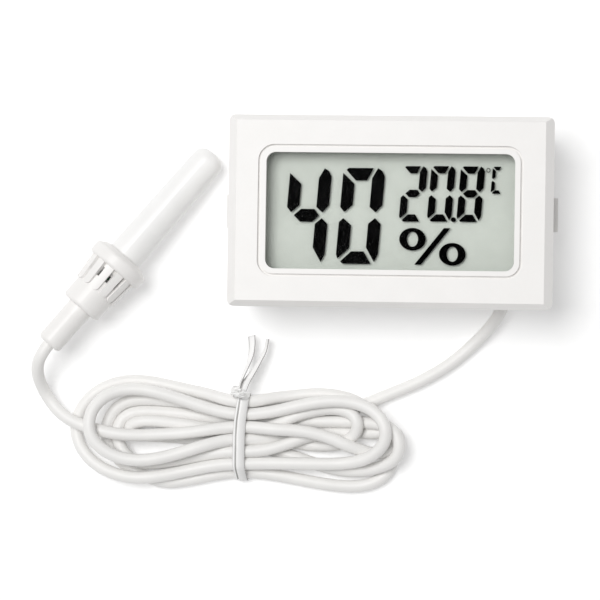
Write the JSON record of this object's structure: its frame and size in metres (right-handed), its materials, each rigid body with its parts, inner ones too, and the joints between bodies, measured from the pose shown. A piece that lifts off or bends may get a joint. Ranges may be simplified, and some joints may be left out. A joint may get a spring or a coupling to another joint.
{
  "type": "digital panel thermometer with wired probe",
  "caption": "White panel-mount LCD thermometer and hygrometer with snap-in side clips, a sliding battery door and a vented probe on a thin tied lead.",
  "frame": {"origin": "centre of the display unit's rear face, which it lies on", "axes": "+X to the right of the display, +Y up the display, +Z out of the display's front"},
  "size_m": [0.0794, 0.0568, 0.0152],
  "materials": {
    "case_plastic": "white moulded ABS, semi-gloss",
    "rear_plastic": "white moulded ABS, satin",
    "clear_window": "clear acrylic sheet",
    "lcd_glass": "thin display glass",
    "lcd_film": "grey-green display film",
    "lcd_ink": "darkened liquid-crystal segments",
    "elastomer": "striped conductive elastomer",
    "board": "green solder resist over glass-epoxy",
    "epoxy": "black potting epoxy",
    "component": "ceramic surface-mount bodies",
    "bright_metal": "nickel-plated steel",
    "lead_pvc": "white flexible PVC",
    "tie_paper": "white plastic-coated wire ribbon",
    "probe_plastic": "white moulded ABS, semi-gloss",
    "sensor_black": "black epoxy bead and coated legs",
    "sensor_white": "white ceramic sensor"
  },
  "bodies": {
    "unit": {"front_bezel": "case_plastic", "display_window": "clear_window", "lcd_polariser": "lcd_glass", "lcd_front_glass": "lcd_glass", "lcd_segments": "lcd_ink", "lcd_seal": "lcd_film", "lcd_rear_glass": "lcd_glass", "lcd_reflector": "lcd_film", "zebra_strip_upper": "elastomer", "zebra_strip_lower": "elastomer", "circuit_board": "board", "chip_blob": "epoxy", "crystal": "bright_metal", "smd_parts": "component", "board_screws": "bright_metal", "rear_shell": "rear_plastic", "battery_cell_left": "bright_metal", "battery_cell_right": "bright_metal", "negative_contact": "bright_metal", "link_contact": "bright_metal", "positive_contact": "bright_metal", "lead_grommet": "lead_pvc", "display_wires": "lead_pvc", "cord_from_display": "lead_pvc", "cord_hank": "lead_pvc", "cord_to_probe": "lead_pvc", "twist_tie": "tie_paper", "probe_tube": "probe_plastic", "probe_collar": "probe_plastic", "probe_rear_body": "probe_plastic", "probe_boot": "lead_pvc", "probe_board": "board", "humidity_sensor": "sensor_white", "thermistor": "sensor_black", "probe_wires": "lead_pvc"},
    "door": {"battery_door": "rear_plastic"},
    "left_clip": {"clip_left": "rear_plastic"},
    "right_clip": {"clip_right": "rear_plastic"}
  },
  "joints": [
    {"name": "battery_door_slide", "type": "slide", "parent": "unit", "child": "door", "axis": [0, 1, 0], "range_m": [0, 0.014]},
    {"name": "clip_left_flex", "type": "hinge", "parent": "unit", "child": "left_clip", "pos_m": [-0.0222, 0, 0.003], "axis": [0, 1, 0], "range_deg": [0, 17], "stiffness_Nm_per_rad": 0.1},
    {"name": "clip_right_flex", "type": "hinge", "parent": "unit", "child": "right_clip", "pos_m": [0.0222, 0, 0.003], "axis": [0, -1, 0], "range_deg": [0, 17], "stiffness_Nm_per_rad": 0.1}
  ]
}
